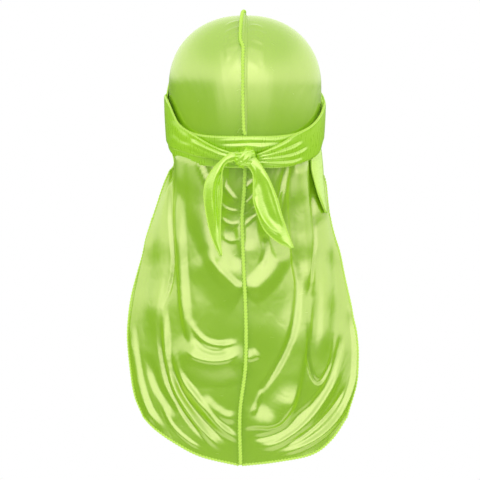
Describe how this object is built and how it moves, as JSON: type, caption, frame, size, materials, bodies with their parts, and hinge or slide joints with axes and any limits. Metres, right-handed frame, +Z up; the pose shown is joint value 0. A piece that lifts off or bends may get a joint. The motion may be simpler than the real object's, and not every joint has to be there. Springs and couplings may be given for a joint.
{
  "type": "durag",
  "caption": "Satin durag tied at the nape: smooth two-panel crown, raised centre seam, long hanging tail, wrapped straps, knot and tie ends.",
  "frame": {"origin": "where the top of the head touches the inside of the crown", "axes": "+Z up, +Y towards the wearer's face, +X to the wearer's right"},
  "size_m": [0.2273, 0.2093, 0.4483],
  "materials": {
    "satin": "glossy lime-green satin",
    "overlock_thread": "matt lime-green sewing thread"
  },
  "bodies": {
    "root": {"panel_left": "satin", "panel_right": "satin", "centre_seam": "overlock_thread", "strap_left": "satin", "strap_right": "satin", "knot": "satin", "tie_end_left": "satin", "tie_end_right": "satin"}
  },
  "joints": []
}
